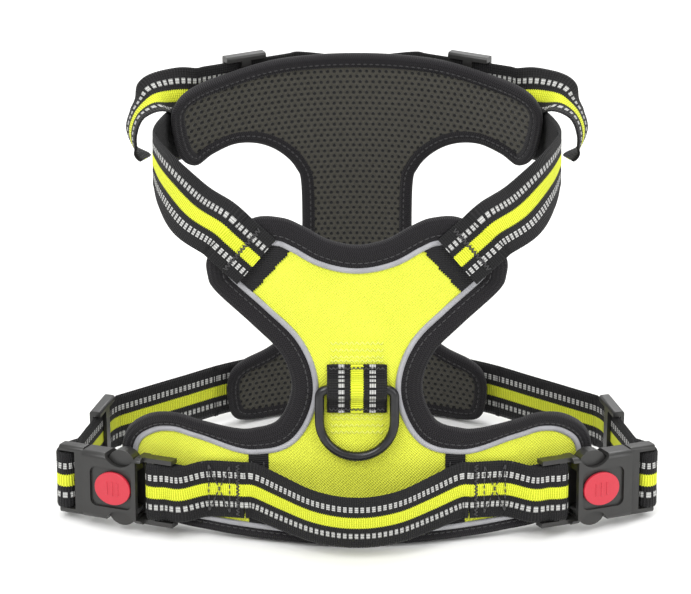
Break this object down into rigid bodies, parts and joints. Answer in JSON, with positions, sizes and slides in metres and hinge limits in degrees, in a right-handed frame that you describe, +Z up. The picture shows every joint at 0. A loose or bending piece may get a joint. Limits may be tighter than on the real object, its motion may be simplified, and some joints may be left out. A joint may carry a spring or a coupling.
{
  "type": "no pull dog harness",
  "caption": "Dog harness with a padded back and chest panel, webbing straps with sliders, side release buckles, a grab handle and leash rings.",
  "frame": {"origin": "on the surface the harness stands on, under the middle of its box", "axes": "+X across the harness, -Y towards the back panel's face, +Z up through the neck opening"},
  "size_m": [0.2592, 0.1662, 0.1761],
  "materials": {
    "yellow_fabric": "matt woven",
    "spacer_mesh": "open mesh",
    "edge_binding": "soft knit",
    "reflective_piping": "satin",
    "black_tape": "ribbed",
    "patterned_webbing": "ribbed webbing",
    "black_plastic": "satin moulded",
    "red_plastic": "satin moulded",
    "dark_metal": "black coated"
  },
  "bodies": {
    "root": {"back_binding": "edge_binding", "back_fabric": "yellow_fabric", "back_lining": "spacer_mesh", "back_piping": "reflective_piping", "back_ring_webbing": "patterned_webbing", "chest_binding": "edge_binding", "chest_fabric": "yellow_fabric", "chest_lining": "spacer_mesh", "chest_webbing": "patterned_webbing", "front_ring_webbing": "patterned_webbing", "left_belly_strap": "patterned_webbing", "left_buckle_strap": "patterned_webbing", "left_female_body": "black_plastic", "left_seam_tape": "black_tape", "left_shoulder_strap": "patterned_webbing", "left_shoulder_tape": "black_tape", "left_strap_loop": "patterned_webbing", "left_wing_fabric": "yellow_fabric", "right_belly_strap": "patterned_webbing", "right_buckle_strap": "patterned_webbing", "right_female_body": "black_plastic", "right_seam_tape": "black_tape", "right_shoulder_strap": "patterned_webbing", "right_shoulder_tape": "black_tape", "right_strap_loop": "patterned_webbing", "right_wing_fabric": "yellow_fabric"},
    "back_ring": {"back_ring": "dark_metal"},
    "front_ring": {"front_ring": "dark_metal"},
    "handle": {"handle_strap": "patterned_webbing"},
    "left_plug": {"left_male_base": "black_plastic", "left_end_loop": "patterned_webbing"},
    "left_upper_prong": {"left_upper_prong": "black_plastic"},
    "left_lower_prong": {"left_lower_prong": "black_plastic"},
    "left_lock": {"left_lock_button": "red_plastic"},
    "left_belly_slider": {"left_belly_glide": "black_plastic"},
    "left_shoulder_slider": {"left_shoulder_glide": "black_plastic"},
    "right_plug": {"right_male_base": "black_plastic", "right_end_loop": "patterned_webbing"},
    "right_upper_prong": {"right_upper_prong": "black_plastic"},
    "right_lower_prong": {"right_lower_prong": "black_plastic"},
    "right_lock": {"right_lock_button": "red_plastic"},
    "right_belly_slider": {"right_belly_glide": "black_plastic"},
    "right_shoulder_slider": {"right_shoulder_glide": "black_plastic"}
  },
  "joints": [
    {"name": "back_ring_swing", "type": "hinge", "parent": "root", "child": "back_ring", "pos_m": [0, -0.05979, 0.0705], "axis": [-1, 0, 0], "range_deg": [0, 165]},
    {"name": "front_ring_swing", "type": "hinge", "parent": "root", "child": "front_ring", "pos_m": [0, 0.07941, 0.11869], "axis": [1, 0, 0], "range_deg": [0, 165]},
    {"name": "handle_swing", "type": "hinge", "parent": "root", "child": "handle", "pos_m": [0, -0.05721, 0.03593], "axis": [-1, 0, 0], "range_deg": [0, 70]},
    {"name": "left_release", "type": "slide", "parent": "root", "child": "left_plug", "axis": [-0.91, 0.4116, -0.0505], "range_m": [0, 0.028], "deforming": ["left_upper_prong", "left_lower_prong"]},
    {"name": "left_upper_prong_flex", "type": "hinge", "parent": "left_plug", "child": "left_upper_prong", "pos_m": [-0.11473, -0.03839, 0.0279], "axis": [0.4147, 0.9032, -0.1109], "range_deg": [0, 5], "stiffness_Nm_per_rad": 0.4},
    {"name": "left_lower_prong_flex", "type": "hinge", "parent": "left_plug", "child": "left_lower_prong", "pos_m": [-0.11473, -0.04071, 0.00899], "axis": [-0.4147, -0.9032, 0.1109], "range_deg": [0, 5], "stiffness_Nm_per_rad": 0.4},
    {"name": "left_lock_slide", "type": "slide", "parent": "root", "child": "left_lock", "axis": [-0.91, 0.4116, -0.0505], "range_m": [0, 0.002]},
    {"name": "left_belly_adjust", "type": "slide", "parent": "root", "child": "left_belly_slider", "axis": [0.2599, 0.9656, 0], "range_m": [-0.02, 0]},
    {"name": "left_shoulder_adjust", "type": "slide", "parent": "root", "child": "left_shoulder_slider", "axis": [0.893, 0.4501, 0], "range_m": [-0.008, 0.008]},
    {"name": "right_release", "type": "slide", "parent": "root", "child": "right_plug", "axis": [0.91, 0.4116, -0.0505], "range_m": [0, 0.028], "deforming": ["right_upper_prong", "right_lower_prong"]},
    {"name": "right_upper_prong_flex", "type": "hinge", "parent": "right_plug", "child": "right_upper_prong", "pos_m": [0.11473, -0.03839, 0.0279], "axis": [0.4147, -0.9032, 0.1109], "range_deg": [0, 5], "stiffness_Nm_per_rad": 0.4},
    {"name": "right_lower_prong_flex", "type": "hinge", "parent": "right_plug", "child": "right_lower_prong", "pos_m": [0.11473, -0.04071, 0.00899], "axis": [-0.4147, 0.9032, -0.1109], "range_deg": [0, 5], "stiffness_Nm_per_rad": 0.4},
    {"name": "right_lock_slide", "type": "slide", "parent": "root", "child": "right_lock", "axis": [0.91, 0.4116, -0.0505], "range_m": [0, 0.002]},
    {"name": "right_belly_adjust", "type": "slide", "parent": "root", "child": "right_belly_slider", "axis": [-0.2599, 0.9656, 0], "range_m": [-0.02, 0]},
    {"name": "right_shoulder_adjust", "type": "slide", "parent": "root", "child": "right_shoulder_slider", "axis": [-0.893, 0.4501, 0], "range_m": [-0.008, 0.008]}
  ]
}
